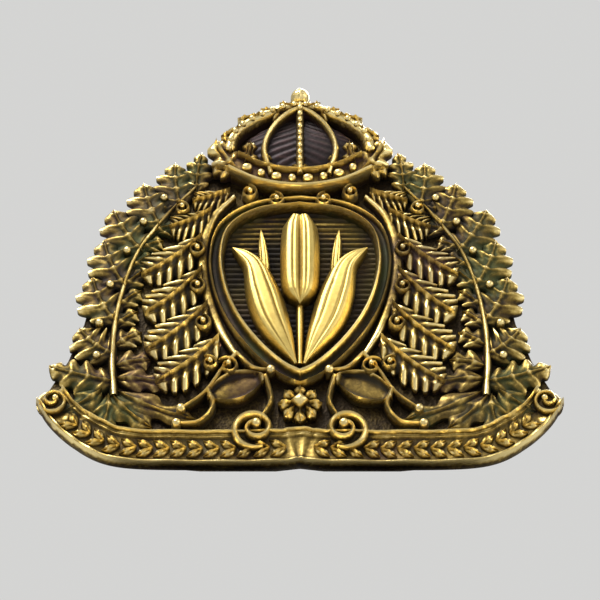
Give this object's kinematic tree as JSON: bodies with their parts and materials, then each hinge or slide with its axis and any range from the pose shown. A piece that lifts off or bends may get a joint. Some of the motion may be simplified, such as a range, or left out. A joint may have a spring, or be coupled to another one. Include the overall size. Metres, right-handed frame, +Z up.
{
  "type": "cap badge",
  "caption": "Brass cap badge: crowned shield with a bright lily, leaf sprays and ribbon pinned to a plate, held by screw posts, keeper plate and knurled nuts",
  "frame": {"origin": "middle of the plate's flat back, on the line of symmetry, 5.5 mm above the screw posts' common line", "axes": "+Y out of the plate's back along the screw posts, so the face looks along -Y; +Z up towards the crown; +X along the badge's width, to the right as the face is seen"},
  "size_m": [0.051, 0.0132, 0.0461],
  "materials": {
    "antique_brass": "blackened brass, rubbed bright on the high spots",
    "dark_plate": "dark matt patina",
    "polished_brass": "polished",
    "crown_velvet": "dark matt lacquer",
    "hardware_brass": "plain machined, lightly tarnished",
    "copper_pin": "peened copper-coloured rod"
  },
  "bodies": {
    "badge": {"base_leaf_left": "antique_brass", "base_leaf_pin_left": "copper_pin", "base_leaf_pin_right": "copper_pin", "base_leaf_right": "antique_brass", "base_plate": "dark_plate", "crown_cap": "crown_velvet", "crown_frame": "antique_brass", "crown_orb": "antique_brass", "crown_pin_left": "copper_pin", "crown_pin_right": "copper_pin", "leaf_lower_pin_left": "copper_pin", "leaf_lower_pin_right": "copper_pin", "leaf_spray_left": "antique_brass", "leaf_spray_right": "antique_brass", "leaf_upper_pin_left": "copper_pin", "leaf_upper_pin_right": "copper_pin", "lily_overlay": "polished_brass", "lily_pin": "copper_pin", "mantling_left": "antique_brass", "mantling_lower_pin_left": "copper_pin", "mantling_lower_pin_right": "copper_pin", "mantling_right": "antique_brass", "mantling_upper_pin_left": "copper_pin", "mantling_upper_pin_right": "copper_pin", "post_flange_left": "hardware_brass", "post_flange_right": "hardware_brass", "post_left": "hardware_brass", "post_right": "hardware_brass", "ribbon": "antique_brass", "ribbon_pin_left": "copper_pin", "ribbon_pin_right": "copper_pin", "rim_bottom_pin": "copper_pin", "rim_top_pin": "copper_pin", "rosette_stud": "antique_brass", "shield_field": "dark_plate", "shield_rim": "antique_brass"},
    "keeper": {"keeper_plate": "hardware_brass"},
    "washer_left": {"washer_left": "hardware_brass"},
    "nut_left": {"nut_left": "hardware_brass"},
    "washer_right": {"washer_right": "hardware_brass"},
    "nut_right": {"nut_right": "hardware_brass"}
  },
  "joints": [
    {"name": "keeper_slide", "type": "slide", "parent": "badge", "child": "keeper", "axis": [0, -1, 0], "range_m": [0, 0.0023]},
    {"name": "washer_left_travel", "type": "slide", "parent": "badge", "child": "washer_left", "axis": [0, 1, 0], "range_m": [0, 0.00254]},
    {"name": "nut_left_spin", "type": "hinge", "parent": "washer_left", "child": "nut_left", "pos_m": [-0.014, 0, -0.0055], "axis": [0, 1, 0], "range_deg": [0, 1440]},
    {"name": "washer_right_travel", "type": "slide", "parent": "badge", "child": "washer_right", "axis": [0, 1, 0], "range_m": [0, 0.00254]},
    {"name": "nut_right_spin", "type": "hinge", "parent": "washer_right", "child": "nut_right", "pos_m": [0.014, 0, -0.0055], "axis": [0, 1, 0], "range_deg": [0, 1440]}
  ],
  "couplings": [
    {"joint": "nut_left_spin", "follows": "washer_left_travel", "rad_per_m": 9894.8},
    {"joint": "nut_right_spin", "follows": "washer_right_travel", "rad_per_m": 9894.8}
  ]
}
